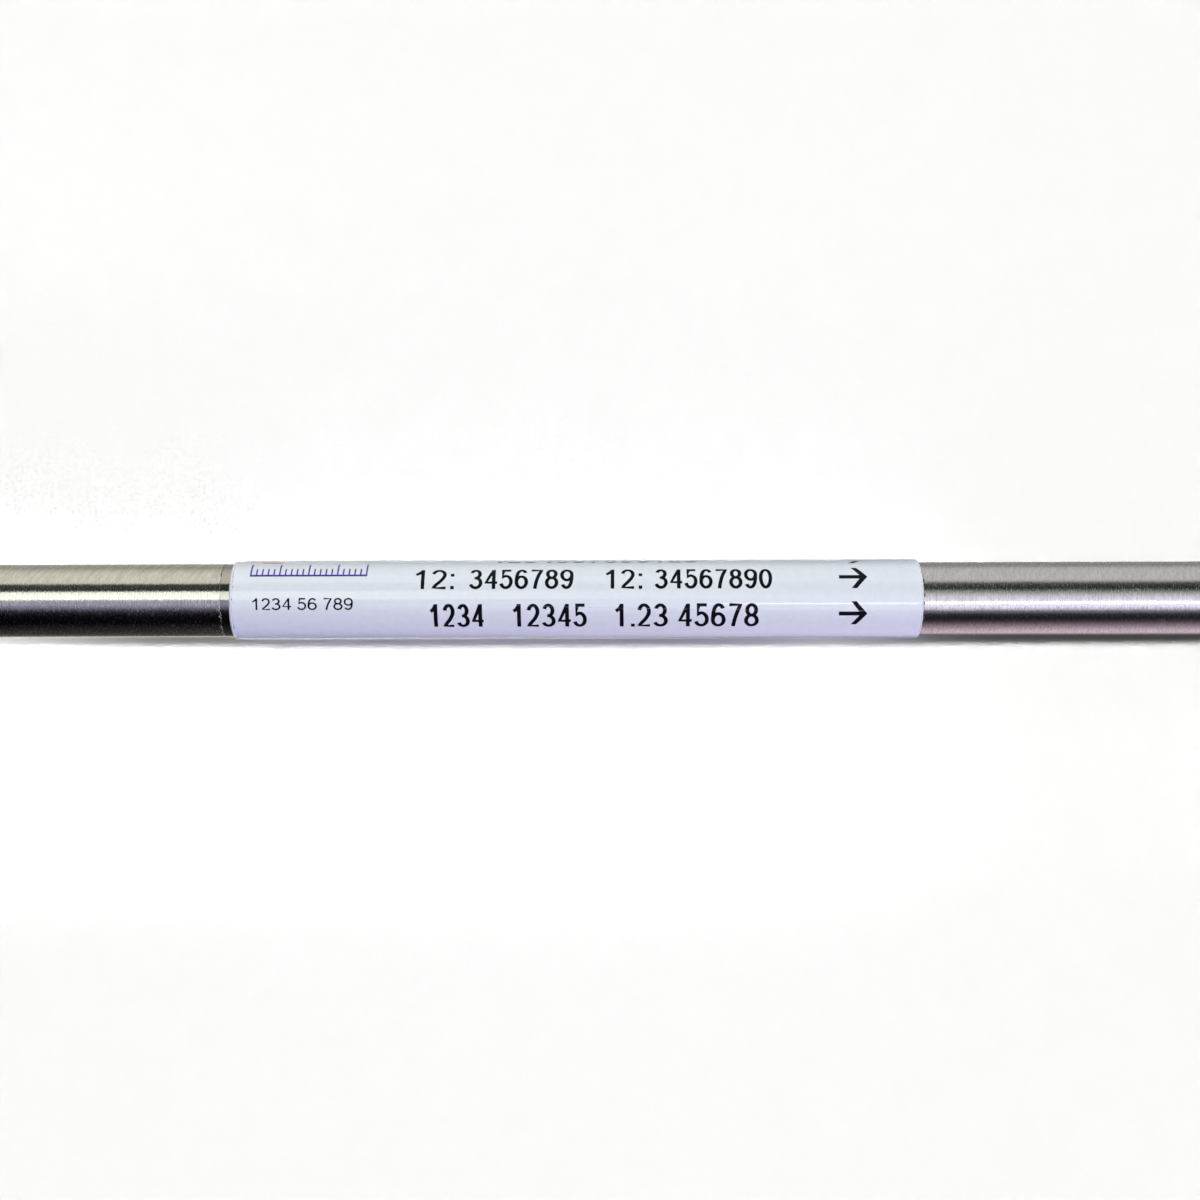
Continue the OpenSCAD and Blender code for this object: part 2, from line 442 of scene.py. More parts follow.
def label_stock():
    """White label face, gloss-covered, with faint mottling, dust and a gentle unevenness."""
    finish = Finish(
        "label_white", Base_Color=(0.71, 0.755, 0.85, 1), Roughness=0.45, Specular_IOR_Level=0.1,
        Coat_Weight=1.0, Coat_Roughness=0.025, Coat_IOR=1.68,
    )
    mottle = finish.grain(1.6, 1.6, 4, 0.6)
    colour = finish.blend(finish.spread(mottle, 0.3, 0.7), (0.715, 0.755, 0.85, 1), (0.75, 0.79, 0.88, 1))
    specks = finish.grain(9, 9, 1)
    colour = finish.blend(finish.spread(specks, 0.80, 0.84, 0, 0.6), colour, (0.30, 0.31, 0.38, 1))
    normal = finish.bump(finish.grain(0.35, 0.8, 1), 0.003)
    rough = finish.spread(mottle, 0.3, 0.7, 0.4, 0.5)
    return finish.drive(Base_Color=colour, Roughness=rough, Normal=normal, Coat_Normal=normal).material


def clear_film():
    """Clear laminating film, a little hazy on the steel and whitened where it was cut or bends.

    Over the label it only shows its edges: its gloss there is the label's own coat.
    """
    finish = Finish("clear_film", Base_Color=(0.85, 0.87, 0.88, 1), Roughness=0.12)
    along, y, z = finish.place()
    haze = finish.grain(6, 6, 3, 0.7)
    on_steel = finish.band(along, FILM_LOW.x, LABEL_LOW.x - 0.1, 0.02)
    bridge = finish.band(along, LABEL_LOW.x - 0.12, LABEL_LOW.x + 0.06, 0.05)
    # The outlet cut leans with the turn.
    view = math.radians(VIEW_TURN)
    y = finish.times(y, -math.cos(view) / LABEL_R)
    z = finish.times(z, math.sin(view) / LABEL_R)
    back = finish.minus(1.0, finish.plus(y, z))
    leaning = finish.plus(along, finish.times(back, CUT_LEAN))
    cut = finish.spread(leaning, LABEL_HIGH.x - 0.12, LABEL_HIGH.x - 0.06)
    white = finish.times(finish.math("MAXIMUM", bridge, cut), finish.spread(haze, 0.3, 0.55, 0.3, 0.8))
    alpha = finish.plus(white, finish.times(on_steel, finish.spread(haze, 0.55, 0.75, 0.0, 0.004)))
    alpha = finish.plus(alpha, finish.spread(haze, 0.3, 0.7, 0.0005, 0.002))
    # At the label's outline the film is seen edge on: there it turns opaque and pale, a painted
    # reflection that hides what lies behind it.
    edge_on = finish.add("LayerWeight", {"Blend": 0.5}).outputs["Facing"]
    painted_rim_reflection = finish.spread(edge_on, 0.79, 0.89, 0.0, 0.7)
    on_label = finish.band(along, LABEL_LOW.x + 0.1, LABEL_HIGH.x, 0.02)
    alpha = finish.math("MAXIMUM", alpha, finish.times(painted_rim_reflection, on_label))
    colour = finish.blend(haze, (0.77, 0.80, 0.86, 1), (0.87, 0.90, 0.95, 1))
    rough = finish.spread(haze, 0.3, 0.7, 0.08, 0.18)
    return finish.drive(Base_Color=colour, Roughness=rough, Alpha=alpha).material


def film_edge():
    """The film's cut edge, where light caught in the film comes out."""
    finish = Finish("film_edge", Base_Color=(0.92, 0.94, 0.96, 1), Roughness=0.3, Alpha=0.5)
    haze = finish.grain(4, 4, 3, 0.7)
    colour = finish.blend(haze, (0.80, 0.82, 0.86, 1), (0.98, 0.98, 1.0, 1))
    # Where the film ends on the steel its edge lies pressed down and hardly shows.
    standing = finish.spread(finish.place()[0], FILM_LOW.x + 0.3, LABEL_LOW.x, 0.25, 1.0)
    alpha = finish.times(finish.spread(haze, 0.35, 0.6, 0.2, 0.75), standing)
    rough = finish.spread(haze, 0.3, 0.7, 0.2, 0.45)
    return finish.drive(Base_Color=colour, Roughness=rough, Alpha=alpha).material


def ink(name, colour, gain=0.008):
    """Printed ink, slightly uneven, flush under the film."""
    finish = Finish(
        name, Base_Color=(*colour, 1), Roughness=0.4, Specular_IOR_Level=0.05,
        Coat_Weight=0.05, Coat_Roughness=0.05,
    )
    uneven = finish.grain(7, 7, 3, 0.6)
    lighter = [c + gain for c in colour]
    shade = finish.blend(finish.spread(uneven, 0.5, 0.8), (*colour, 1), (*lighter, 1))
    rough = finish.spread(uneven, 0.3, 0.7, 0.35, 0.5)
    return finish.drive(Base_Color=shade, Roughness=rough).material


def soiled_adhesive(name, dark, light):
    """Tiny crumbs of adhesive that have picked up dirt; in pale tones they are a painted highlight, the
    lit copy of the same crumbs.
    """
    finish = Finish(name, Base_Color=(*dark, 1), Roughness=0.6)
    spots = finish.grain(12, 12)
    colour = finish.blend(finish.spread(spots, 0.4, 0.65), (*dark, 1), (*light, 1))
    rough = finish.spread(spots, 0.3, 0.7, 0.5, 0.75)
    return finish.drive(Base_Color=colour, Roughness=rough).material


# ---------------- tube and label

TUBE_CHAMFER = 0.25
TUBE_STEPS = 256  # mesh steps round the tube, and round the label
LABEL_STEPS = 240
BED_R = 1.05
EDGE_ROUND = 0.03
CUT_LEAN = 0.26  # how far the outlet cut has drawn back a quarter turn from the view turn


def tube_section(_turn):
    """Outline of the tube's wall, the same at every turn."""
    left, right = TUBE_LOW.x, TUBE_HIGH.x
    return [
        (left, BED_R), (left, TUBE_R - TUBE_CHAMFER), (left + TUBE_CHAMFER, TUBE_R),
        (right - TUBE_CHAMFER, TUBE_R), (right, TUBE_R - TUBE_CHAMFER), (right, BED_R),
    ]


def cut_waver(turn, end, depth=0.035):
    """How far a knife-cut end strays along the tube at a turn."""
    a = math.radians(turn)
    where = Vector((math.cos(a) * 2.3, math.sin(a) * 2.3, end * 7.0))
    fine = value_noise.noise(where * 5.5)
    return depth * (value_noise.noise(where) + 0.5 * fine)


def outlet_cut(turn):
    """Place of the outlet cut through label and film, which leans a little."""
    return LABEL_HIGH.x - CUT_LEAN * (1 - math.cos(math.radians(turn - VIEW_TURN)))


def label_section(turn):
    """Outline of the label's wall: its two cut ends waver a little."""
    left = LABEL_LOW.x + abs(cut_waver(turn, -1))
    right = outlet_cut(turn) - abs(cut_waver(turn, 1))
    return [
        (left, TUBE_R), (left, LABEL_R - EDGE_ROUND), (left + EDGE_ROUND, LABEL_R),
        (right - EDGE_ROUND, LABEL_R), (right, LABEL_R - EDGE_ROUND), (right, TUBE_R),
    ]


# ---------------- film

FILM_T = 0.055
FILM_PRESSED = 0.2  # the film thins out over this length at its cut ends
FILM_LIFT = 0.016  # room for the print between label and film
LAP_TURNS = 150  # how far the film's tail goes on past one whole turn
LAP_LEFT = -29.08
EDGE_RISE = 4.5  # the tail's free edge at the inlet side, above the view turn
EDGE_DROP = 22  # and how far it has slanted down at the outlet side
EDGE_BEND = 1.7
CORNER_R = 0.45
FILM_START = -6  # turn of the film's hidden start, from the view turn, without the lap
GLUE_T = 0.004
BRIDGE = (0.2, 0.01)  # before the label the film starts to rise, and has risen
NARROWING = (290, 358)  # degrees of winding over which the inlet end draws in for the tail
OVERLAP = (346, 359)  # and over which the tail climbs onto the film's own start
FILM_STEPS = 255  # mesh steps along the winding
# Places of the mesh's rows, from the film's inlet end and from its outlet end.
FILM_HEAD = (
    0, 0.03, 0.07, 0.12, 0.18, 0.25, 0.33, 0.42, 0.52, 0.62, 0.70, 0.75, 0.79, 0.83, 0.87, 0.91, 0.95,
    1.02, 1.12, 1.3, 1.6, 2.0, 2.6, 3.4,
)
FILM_TAIL = (0.6, 0.3, 0.15, 0.07, 0)
FILM_MIDDLE_ROWS = 40


def free_edge_turn(x):
    """Turn of the film's free edge at a place along the tube, with its rounded corner."""
    share = min(max((x - LAP_LEFT) / (LABEL_HIGH.x - LAP_LEFT), 0), 1)
    turn = VIEW_TURN + EDGE_RISE - EDGE_DROP * (1 - (1 - share) ** EDGE_BEND)
    inset = x - LAP_LEFT
    if inset < CORNER_R:
        back = CORNER_R - math.sqrt(max(CORNER_R**2 - (CORNER_R - max(inset, 0)) ** 2, 0))
        turn += math.degrees(back / LABEL_R)
    return turn


def film_thickness(x, left, turn):
    """Thickness of the film at a place: it is pressed thin at its cut ends."""
    inset = min(x - left, outlet_cut(turn) - x)
    return FILM_T * smooth_step(-0.5 * FILM_PRESSED, FILM_PRESSED, inset)


def film_floor(x, wound, turn):
    """Radius of the film's inner face at a place and after some degrees of winding."""
    start = LABEL_LOW.x
    on_label = smooth_step(start - BRIDGE[0], start - BRIDGE[1], x)
    base = TUBE_R + GLUE_T + on_label * (LABEL_T + FILM_LIFT - GLUE_T)
    return base + (film_thickness(x, FILM_LOW.x, turn) + GLUE_T) * smooth_step(*OVERLAP, wound)


def film_rows(left, right):
    """Places of the mesh's rows along the tube, from one end of the film to the other."""
    low, high = left + FILM_HEAD[-1], right - FILM_TAIL[0]
    middle = [low + (high - low) * i / FILM_MIDDLE_ROWS for i in range(1, FILM_MIDDLE_ROWS)]
    return [left + d for d in FILM_HEAD] + middle + [right - d for d in FILM_TAIL]


def film_points():
    """Both faces of one strip of film, wound on and lapped over its own start, by rows."""
    first_turn = VIEW_TURN + FILM_START + LAP_TURNS
    inner, outer = [], []
    for j in range(FILM_STEPS + 1):
        # The tail is narrower than the first turn, at the inlet side.
        rough_wound = (360 + LAP_TURNS) * j / FILM_STEPS
        left = FILM_LOW.x + (LAP_LEFT - FILM_LOW.x) * smooth_step(*NARROWING, rough_wound)
        whole = 360 + first_turn - free_edge_turn(LABEL_HIGH.x)
        right = outlet_cut(first_turn - whole * j / FILM_STEPS)
        for x in film_rows(left, right):
            wound = (360 + first_turn - free_edge_turn(x)) * j / FILM_STEPS
            turn = first_turn - wound
            lift = film_floor(x, wound, turn)
            inner.append(at_turn(x, lift, turn))
            outer.append(at_turn(x, lift + film_thickness(x, left, turn), turn))
    return inner, outer


def film_wrap(clear, edge):
    """The film as a closed strip; its cut edges take their own finish."""
    inner, outer = film_points()
    rows, columns = FILM_STEPS + 1, len(inner) // (FILM_STEPS + 1)
    shift = len(inner)
    faces = grid_faces(rows, columns)
    faces += [tuple(v + shift for v in face) for face in reversed(grid_faces(rows, columns))]
    body_faces = len(faces)
    border = list(range(columns))
    border += [i * columns + columns - 1 for i in range(1, rows)]
    border += [(rows - 1) * columns + j for j in range(columns - 2, -1, -1)]
    border += [i * columns for i in range(rows - 2, 0, -1)]
    for a, b in zip(border, border[1:] + border[:1]):
        faces.append((a, b, b + shift, a + shift))
    piece = show_solid("film_wrap", inner + outer, faces, smooth_below=50)
    dress(piece, "clear_film", clear, edge, stands_for=("label_film",))
    for face in piece.data.polygons[body_faces:]:
        face.material_index = 1
    return piece


# ---------------- print

INK_T = 0.008
PRINT_LIFT = 0.001
PRINT_STEP = 0.14  # the print is cut this finely before it bends round the label
FIGURE_WIDTH = 0.535  # of a figure's height
FIGURE_STEP = 0.60  # from one figure's left side to the next one's
SPACE_STEP = 0.28
POINT_STEP = 0.27
UPRIGHT_PEN = 0.150  # thickness of upright strokes, and of level ones below
LEVEL_PEN = 0.124
REACH = 0.055  # how far square-ended strokes go past the box of their middle lines
MITRE_LIMIT = 0.45  # keeps sharp corners from running out into a spike
UPPER_DOT = 0.6  # height of a colon's upper dot
DOT_INSET = 0.4  # of a dot's own width


def arc(centre_x, centre_y, half_width, half_height, start, end, steps=14):
    """Points on an oval from one angle to another."""
    angles = [math.radians(start + (end - start) * i / steps) for i in range(steps + 1)]
    return [(centre_x + half_width * math.cos(a), centre_y + half_height * math.sin(a)) for a in angles]


def oval(centre_x, centre_y, half_width, half_height):
    return arc(centre_x, centre_y, half_width, half_height, 0, 360, 32)[:-1]


def curve(start, pull, end, steps=9):
    """Points on a plain curve that leaves towards a pull point and ends from it."""
    points = []
    for i in range(steps + 1):
        t = i / steps
        near, mid, far = (1 - t) ** 2, 2 * t * (1 - t), t * t
        points.append(tuple(near * a + mid * b + far * c for a, b, c in zip(start, pull, end)))
    return points


def half_turned(strokes):
    return [([(1 - x, 1 - y) for x, y in points], closed) for points, closed in strokes]


# Middle lines of the figures in a box one wide and one high, and whether each is closed.
SIX = [
    (arc(0.54, 0.74, 0.40, 0.26, 22, 90) + curve((0.54, 1.0), (0.0, 1.0), (0.0, 0.30))[1:], False),
    (oval(0.5, 0.3, 0.5, 0.3), True),
]
FIGURES = {
    "0": [(oval(0.5, 0.5, 0.5, 0.5), True)],
    "1": [
        ([(0.64, -REACH), (0.64, 1 + REACH)], False),
        (curve((0.62, 1.0), (0.48, 0.82), (0.10, 0.73)), False),
    ],
    "2": [
        (
            arc(0.49, 0.715, 0.45, 0.285, 168, -25)
            + curve((0.898, 0.594), (0.72, 0.38), (0.34, 0.20), 5)[1:]
            + [(0.12, 0.06), (0.03, 0.0), (1.04, 0.0)],
            False,
        )
    ],
    "3": [
        (arc(0.46, 0.76, 0.42, 0.24, 162, -90) + [(0.34, 0.52)], False),
        ([(0.34, 0.52)] + arc(0.46, 0.26, 0.52, 0.26, 90, -162), False),
    ],
    "4": [
        ([(0.76, -REACH), (0.76, 1 + REACH)], False),
        ([(0.74, 1.0), (0.0, 0.27), (1.12, 0.27)], False),
    ],
    "5": [([(0.96, 1.0), (0.20, 1.0), (0.09, 0.50)] + arc(0.46, 0.32, 0.52, 0.32, 136, -162)[1:], False)],
    "6": SIX,
    "7": [([(-0.02, 1.0), (1.0, 1.0)] + curve((1.0, 1.0), (0.50, 0.55), (0.34, -REACH))[1:], False)],
    "8": [(oval(0.5, 0.765, 0.41, 0.235), True), (oval(0.5, 0.265, 0.5, 0.265), True)],
    "9": half_turned(SIX),
}


def pen_edges(points, half_upright, half_level, closed):
    """Both edge lines of a pen stroke along points, mitred at its corners."""
    count = len(points)
    left, right = [], []
    for i, (x, y) in enumerate(points):
        before = points[i - 1] if closed or i > 0 else None
        after = points[(i + 1) % count] if closed or i < count - 1 else None
        normals = []
        line = [point for point in (before, (x, y), after) if point]
        for (x0, y0), (x1, y1) in zip(line, line[1:]):
            length = math.hypot(x1 - x0, y1 - y0)
            normals.append((-(y1 - y0) / length, (x1 - x0) / length))
        nx = sum(n[0] for n in normals) / len(normals)
        ny = sum(n[1] for n in normals) / len(normals)
        stretch = 1 / max(nx * nx + ny * ny, MITRE_LIMIT)
        dx, dy = nx * half_upright * stretch, ny * half_level * stretch
        left.append((x + dx, y + dy))
        right.append((x - dx, y - dy))
    return left, right


def strip_solid(left, right, closed=False):
    """A flat closed strip between two edge lines, as points and faces."""
    points = []
    for (x0, y0), (x1, y1) in zip(left, right):
        points += [(x0, y0, 0), (x1, y1, 0), (x1, y1, INK_T), (x0, y0, INK_T)]
    faces = grid_faces(len(left), 4, closed, True)
    if not closed:
        last = len(points) - 4
        faces += [(3, 2, 1, 0), (last, last + 1, last + 2, last + 3)]
    return points, faces


def block(x, y, width, height):
    """A flat block from one corner."""
    return strip_solid([(x, y), (x + width, y)], [(x, y + height), (x + width, y + height)])


def figure_solids(figure, left, base, width, height):
    """Strokes of one figure whose outer box has this place and size."""
    upright, level = UPRIGHT_PEN * height, LEVEL_PEN * height
    solids = []
    for points, closed in FIGURES[figure]:
        placed = [
            (left + upright / 2 + x * (width - upright), base + level / 2 + y * (height - level))
            for x, y in points
        ]
        solids.append(strip_solid(*pen_edges(placed, upright / 2, level / 2, closed), closed))
    return solids


def word_solids(text, left, right, base, height):
    """Plain figures that fill the line from one place to another."""
    steps = {" ": SPACE_STEP, ":": POINT_STEP, ".": POINT_STEP}
    natural = sum(steps.get(mark, FIGURE_STEP) for mark in text) - (FIGURE_STEP - FIGURE_WIDTH)
    unit = (right - left) / natural
    dot = UPRIGHT_PEN * height
    solids, x = [], left
    for mark in text:
        if mark in ":.":
            solids.append(block(x + dot * DOT_INSET, base, dot, dot))
        if mark == ":":
            solids.append(block(x + dot * DOT_INSET, base + UPPER_DOT * height, dot, dot))
        if mark in FIGURES:
            solids += figure_solids(mark, x, base, FIGURE_WIDTH * unit, height)
        x += steps.get(mark, FIGURE_STEP) * unit
    return solids


def flow_arrow(tip, middle):
    """One flow arrow: a shaft and two barbs that thicken towards the tip."""
    length, pen, half_height, outer, inner, notch = 2.43, 0.36, 1.08, 0.92, 1.38, 0.62
    inset, root = 0.3, 0.1  # of the shaft from the tip, and of a barb's root from the shaft's middle
    solids = [block(tip - length, middle + pen / 2, length - inset, -pen)]
    for side in (-1, 1):
        far = middle + side * half_height
        near = middle + side * root
        solids.append(
            strip_solid([(tip, middle), (tip - outer, far)], [(tip - notch, near), (tip - inner, far)])
        )
        solids.append(
            strip_solid([(tip, middle), (tip - notch, near)], [(tip, middle), (tip - notch, middle)])
        )
    return solids


def join_solids(name, solids):
    """One flat mesh, still in millimetres."""
    points, faces = [], []
    for solid_points, solid_faces in solids:
        shift = len(points)
        points += solid_points
        faces += [tuple(v + shift for v in face) for face in solid_faces]
    return plain_mesh(name, points, faces, unit=1)


def print_on_label(name, flat, material):
    """Lays a flat mesh (x along, y up from the view turn, z outwards) round the label."""
    work = bmesh.new()
    work.from_mesh(flat)
    bmesh.ops.dissolve_degenerate(work, dist=1e-5, edges=work.edges)
    heights = [v.co.y for v in work.verts]
    level = min(heights) + PRINT_STEP
    while level < max(heights):
        everything = work.verts[:] + work.edges[:] + work.faces[:]
        bmesh.ops.bisect_plane(work, geom=everything, plane_co=(0, level, 0), plane_no=(0, 1, 0))
        level += PRINT_STEP
    for v in work.verts:
        turn = VIEW_TURN + math.degrees(v.co.y / LABEL_R)
        v.co = Vector(at_turn(v.co.x, LABEL_R + PRINT_LIFT + v.co.z, turn)) * MM
    bmesh.ops.triangulate(work, faces=work.faces)
    bmesh.ops.recalc_face_normals(work, faces=work.faces)
    mesh = bpy.data.meshes.new(name)
    work.to_mesh(mesh)
    work.free()
    return dress(put(name, mesh), "label_white", material)


SCALE_LEFT = -28.1
SCALE_BASE = 2.42
SCALE_STEP = 0.5
SCALE_COUNT = 21
SCALE_PEN = 0.13
RULE_T = 0.2
BAR = (0.8, 1.95, 1.7, 0.25)  # the red bar's place over the scale's corner, and its size


def graduated_scale():
    """Flat ticks of a plain scale, each fifth one longer, standing on a ruled line."""
    shape = ShapeTree(
        "graduated_scale", Step=SCALE_STEP, Count=SCALE_COUNT,
        Pen=SCALE_PEN, Short=0.75, Long=1.5, Ink=INK_T,
    )
    given = shape.given
    line = shape.make("MeshLine", {"Count": given["Count"], "Offset": shape.vector(given["Step"])})
    is_fifth = shape.math("COMPARE", shape.math("MODULO", shape.make("InputIndex"), 5.0), 0.0)
    longer = shape.times(is_fifth, shape.minus(given["Long"], given["Short"]))
    height = shape.plus(given["Short"], longer)
    # A unit cube is stood on the line by half its height before it is stretched.
    cube = shape.make("MeshCube", {"Size": (1.0, 1.0, 1.0)})
    stood = shape.make("Transform", {0: cube, "Translation": (0.5, 0.5, 0.5)})
    stretch = shape.vector(given["Pen"], height, given["Ink"])
    shape.finish(shape.make("InstanceOnPoints", {"Points": line, "Instance": stood, "Scale": stretch}))
    return shape.run(bpy.data.meshes.new("scale_base"))


# ---------------- threads on the end fittings

TUBE_END = TUBE_HIGH.x
PORT_R = 2.05
PORT_THREAD_R = 2.41
PORT_PITCH = 0.794
PORT_START = 7.9
PORT_TURNS = 9.5
UNION_CREST_R = 5.5
UNION_ROOT_R = 4.75
UNION_PITCH = 1.27
UNION_TURNS = 2.1
UNION_SHOWN = (1.04, 2.18)  # between the nut's front and the undercut, from the tube's end
COLLAR_R = 4.2
SQUARE = 0.001  # faces this near to level or upright count as such
SAME_FLAT = 0.005  # and sides this near to the largest one's distance from the axis
PORT_PAST = 0.08  # how far each groove's profile reaches past the face it cuts
UNION_PAST = 0.12
OUTWARD_TIP = 0.0  # turns of a groove's three-sided profile
INWARD_TIP = math.pi


def own_axis(inlet):
    """Turns a fitting's place to its own axis: outwards is +Z, from the tube's end, in mm."""
    to_outlet = Matrix.Rotation(math.pi, 4, "Z") if inlet else Matrix.Identity(4)
    upright = Matrix(((0, 1, 0, 0), (0, 0, 1, 0), (1, 0, 0, -TUBE_END * MM), (0, 0, 0, 1)))
    return Matrix.Scale(1 / MM, 4) @ upright @ to_outlet


def groove(shape, facing, start):
    """A helical groove of 60 degrees that opens inwards or outwards.

    Its profile's radius is two thirds of its depth, as in any triangle with three equal sides.
    """
    given = shape.given
    turns, middle = given["Turns"], given["Middle"]
    path = {"Resolution": 72, "Rotations": turns, "Start Radius": middle, "End Radius": middle}
    path.update({"Height": shape.times(given["Pitch"], turns), "Reverse": True})
    spiral = shape.make("CurveSpiral", path)
    upright = shape.make("SetCurveNormal", {0: spiral}, mode="Z_UP")
    three_sided = {"Resolution": 3, "Radius": given["Profile"]}
    profile = shape.make("CurvePrimitiveCircle", three_sided)
    turned = shape.make("Transform", {0: profile, "Rotation": (0.0, 0.0, facing)})
    swept = shape.make("CurveToMesh", {"Curve": upright, "Profile Curve": turned, "Fill Caps": True})
    return shape.make("Transform", {0: swept, "Translation": (0.0, 0.0, start)})


def combine(shape, operation, first, second):
    """Joins two solids, or takes the second from the first."""
    node = shape.add("MeshBoolean", operation=operation, solver="EXACT")
    shape.feed(node.inputs["Mesh 1" if operation == "DIFFERENCE" else "Mesh 2"], first)
    shape.feed(node.inputs["Mesh 2"], second)
    return node.outputs[0]


def drum(shape, radius, low, high):
    """A plain cylinder on the axis between two heights."""
    sizes = {"Vertices": 96, "Radius": radius, "Depth": high - low}
    cylinder = shape.make("MeshCylinder", sizes)
    return shape.make("Transform", {0: cylinder, "Translation": (0.0, 0.0, (low + high) / 2)})


def port_thread(body):
    """Cuts the port's inside thread."""
    size = (PORT_THREAD_R - PORT_R + PORT_PAST) * 2 / 3
    middle = PORT_THREAD_R - size
    shape = ShapeTree("port_thread", Middle=middle, Profile=size, Pitch=PORT_PITCH, Turns=PORT_TURNS)
    thread = groove(shape, OUTWARD_TIP, PORT_START)
    shape.finish(combine(shape, "DIFFERENCE", shape.given["Geometry"], thread))
    return shape.run(body)


def union_thread(body):
    """Raises the union thread's crests where they show and cuts its groove."""
    size = (UNION_CREST_R - UNION_ROOT_R + UNION_PAST) * 2 / 3
    middle = UNION_ROOT_R + size
    shape = ShapeTree("union_thread", Middle=middle, Profile=size, Pitch=UNION_PITCH, Turns=UNION_TURNS)
    low, high = UNION_SHOWN
    hollow = drum(shape, COLLAR_R, low - 1, high + 1)
    collar = combine(shape, "DIFFERENCE", drum(shape, UNION_CREST_R, low, high), hollow)
    raised = combine(shape, "UNION", shape.given["Geometry"], collar)
    thread = groove(shape, INWARD_TIP, low - UNION_PITCH)
    shape.finish(combine(shape, "DIFFERENCE", raised, thread))
    return shape.run(body)


def thread_fitting(node, material):
    """Replaces an end fitting by the same fitting with its threads cut."""
    body = bpy.data.objects[node].data.copy()
    body.materials.clear()
    place = own_axis(node.startswith("inlet"))
    body.transform(place)
    tidy_normals(body)
    body = port_thread(union_thread(body))
    body.transform(place.inverted())
    tidy_normals(body)
    body.materials.clear()
    piece = show(node.replace("end_fitting", "threaded_fitting"), body, 30)
    # Its flat ends and the hexagon's sides, all as far from the axis as the largest one, stay flat.
    sides = [face for face in body.polygons if abs(face.normal.x) < SQUARE]
    largest = max(sides, key=lambda face: face.area)
    half_width = largest.normal.dot(largest.center)
    flats = [face for face in body.polygons if abs(face.normal.x) > 1 - SQUARE]
    for face in sides:
        if abs(face.normal.dot(face.center) - half_width) < SAME_FLAT * MM:
            flats.append(face)
    for face in flats:
        face.use_smooth = False
    dress(piece, "fitting_steel", material, stands_for=(node,))


# ---------------- crumbs at the cut edges


def edge_crumbs(name, guide, count, size, stretch, scatter, seed, material):
    """Tiny crumbs scattered along a line, each stretched along it."""
    shape = ShapeTree(name, Count=count, Size=size * MM, Stretch=stretch, Scatter=scatter * MM, Seed=seed)
    given = shape.given
    path = shape.make("MeshToCurve", {0: given["Geometry"]})
    spots = shape.add("CurveToPoints", {0: path, "Count": given["Count"]}).outputs
    # They stray along the tube, and hardly off its surface.
    aside = shape.times(given["Scatter"], 0.2)
    back = shape.times(aside, -1.0)
    low = shape.vector(shape.times(given["Scatter"], -1.0), back, back)
    high = shape.vector(given["Scatter"], aside, aside)
    vector_draw = {"Min": low, "Max": high, "Seed": given["Seed"]}
    stray = shape.make("FunctionNodeRandomValue", vector_draw, data_type="FLOAT_VECTOR")
    moved = shape.make("SetPosition", {0: spots[0], "Offset": stray})
    other = shape.plus(given["Seed"], 1.0)
    # Most crumbs are small: the draw is squared.
    draw = shape.add("FunctionNodeRandomValue", {"Seed": other}, data_type="FLOAT").outputs[1]
    width = shape.times(given["Size"], shape.plus(0.25, shape.math("POWER", draw, 2.0)))
    size_3d = shape.vector(shape.times(width, given["Stretch"]), width, width)
    crumb = shape.make("MeshIcoSphere", {"Radius": 1.0, "Subdivisions": 1})
    along = shape.make("FunctionNodeAlignRotationToVector", {"Vector": spots[1]}, axis="X")
    placed = {"Points": moved, "Instance": crumb, "Rotation": along, "Scale": size_3d}
    shape.finish(shape.make("InstanceOnPoints", placed))
    mesh = shape.run(guide)
    mesh.materials.clear()
    tidy_normals(mesh)
    return dress(show(name, mesh), "clear_film", material)


def guide_line(point_at, turns):
    """A line of points round the tube, as a base mesh for crumbs."""
    points = [point_at(turn) for turn in turns]
    return plain_mesh("guide_line", points, [], [(i, i + 1) for i in range(len(points) - 1)])


def inlet_cut_line(turn):
    return at_turn(LABEL_LOW.x + 0.14 + cut_waver(turn, -1), LABEL_R, turn)


def outlet_cut_line(turn):
    return at_turn(outlet_cut(turn) + 0.05 - abs(cut_waver(turn, 1)), TUBE_R, turn)


def film_end_line(turn):
    return at_turn(FILM_LOW.x - 0.02, TUBE_R, turn)


# Each row: name, line, its turns, how many, their size, stretch, scatter and seed, and if dark.
CRUMBS = [
    ("crumbs_at_inlet_cut", inlet_cut_line, (0, 361), 80, 0.048, 2.6, 0.04, 3, True),
    ("crumbs_at_outlet_cut", outlet_cut_line, (0, 361), 60, 0.11, 1.8, 0.05, 5, True),
    ("crumbs_at_film_end", film_end_line, (95, 304), 150, 0.048, 3.4, 0.02, 9, True),
    # The pale row is the lit copy of the dark crumbs on the film end: a painted highlight where the
    # bright band falls.
    ("pale_crumbs", film_end_line, (-56, 95), 80, 0.036, 2.0, 0.07, 14, False),
]


def make_crumbs():
    dark = soiled_adhesive("soiled_adhesive", (0.05, 0.05, 0.06), (0.20, 0.19, 0.22))
    # The pale tones paint the crumbs as lit: a painted highlight.
    pale = soiled_adhesive("pale_adhesive", (0.45, 0.44, 0.46), (0.80, 0.80, 0.82))
    for name, line, turns, *sizes, is_dark in CRUMBS:
        edge_crumbs(name, guide_line(line, range(*turns, 3)), *sizes, dark if is_dark else pale)


# ---------------- stage

